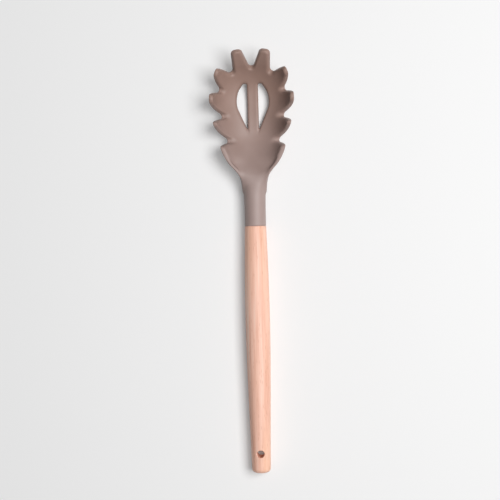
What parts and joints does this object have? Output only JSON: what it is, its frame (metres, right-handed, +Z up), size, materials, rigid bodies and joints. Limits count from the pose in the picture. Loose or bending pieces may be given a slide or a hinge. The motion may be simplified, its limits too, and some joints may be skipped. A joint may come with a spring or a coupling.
{
  "type": "pasta server",
  "caption": "Toothed silicone bowl with drain slots on a rigid core, glued into a turned wooden handle with a hanging hole.",
  "frame": {"origin": "under the middle of the tool's length, on the surface it lies on", "axes": "+Y along the handle towards the head, +X to the tool's right, +Z up out of the open side of the bowl"},
  "size_m": [0.0668, 0.3351, 0.0301],
  "materials": {
    "silicone": "matte taupe food-grade silicone",
    "nylon_core": "moulded nylon, inside the silicone",
    "beech": "smooth oiled beech",
    "epoxy": "cured adhesive, inside the handle"
  },
  "bodies": {
    "root": {"silicone_head": "silicone", "core": "nylon_core", "handle": "beech", "tang_adhesive": "epoxy"}
  },
  "joints": []
}
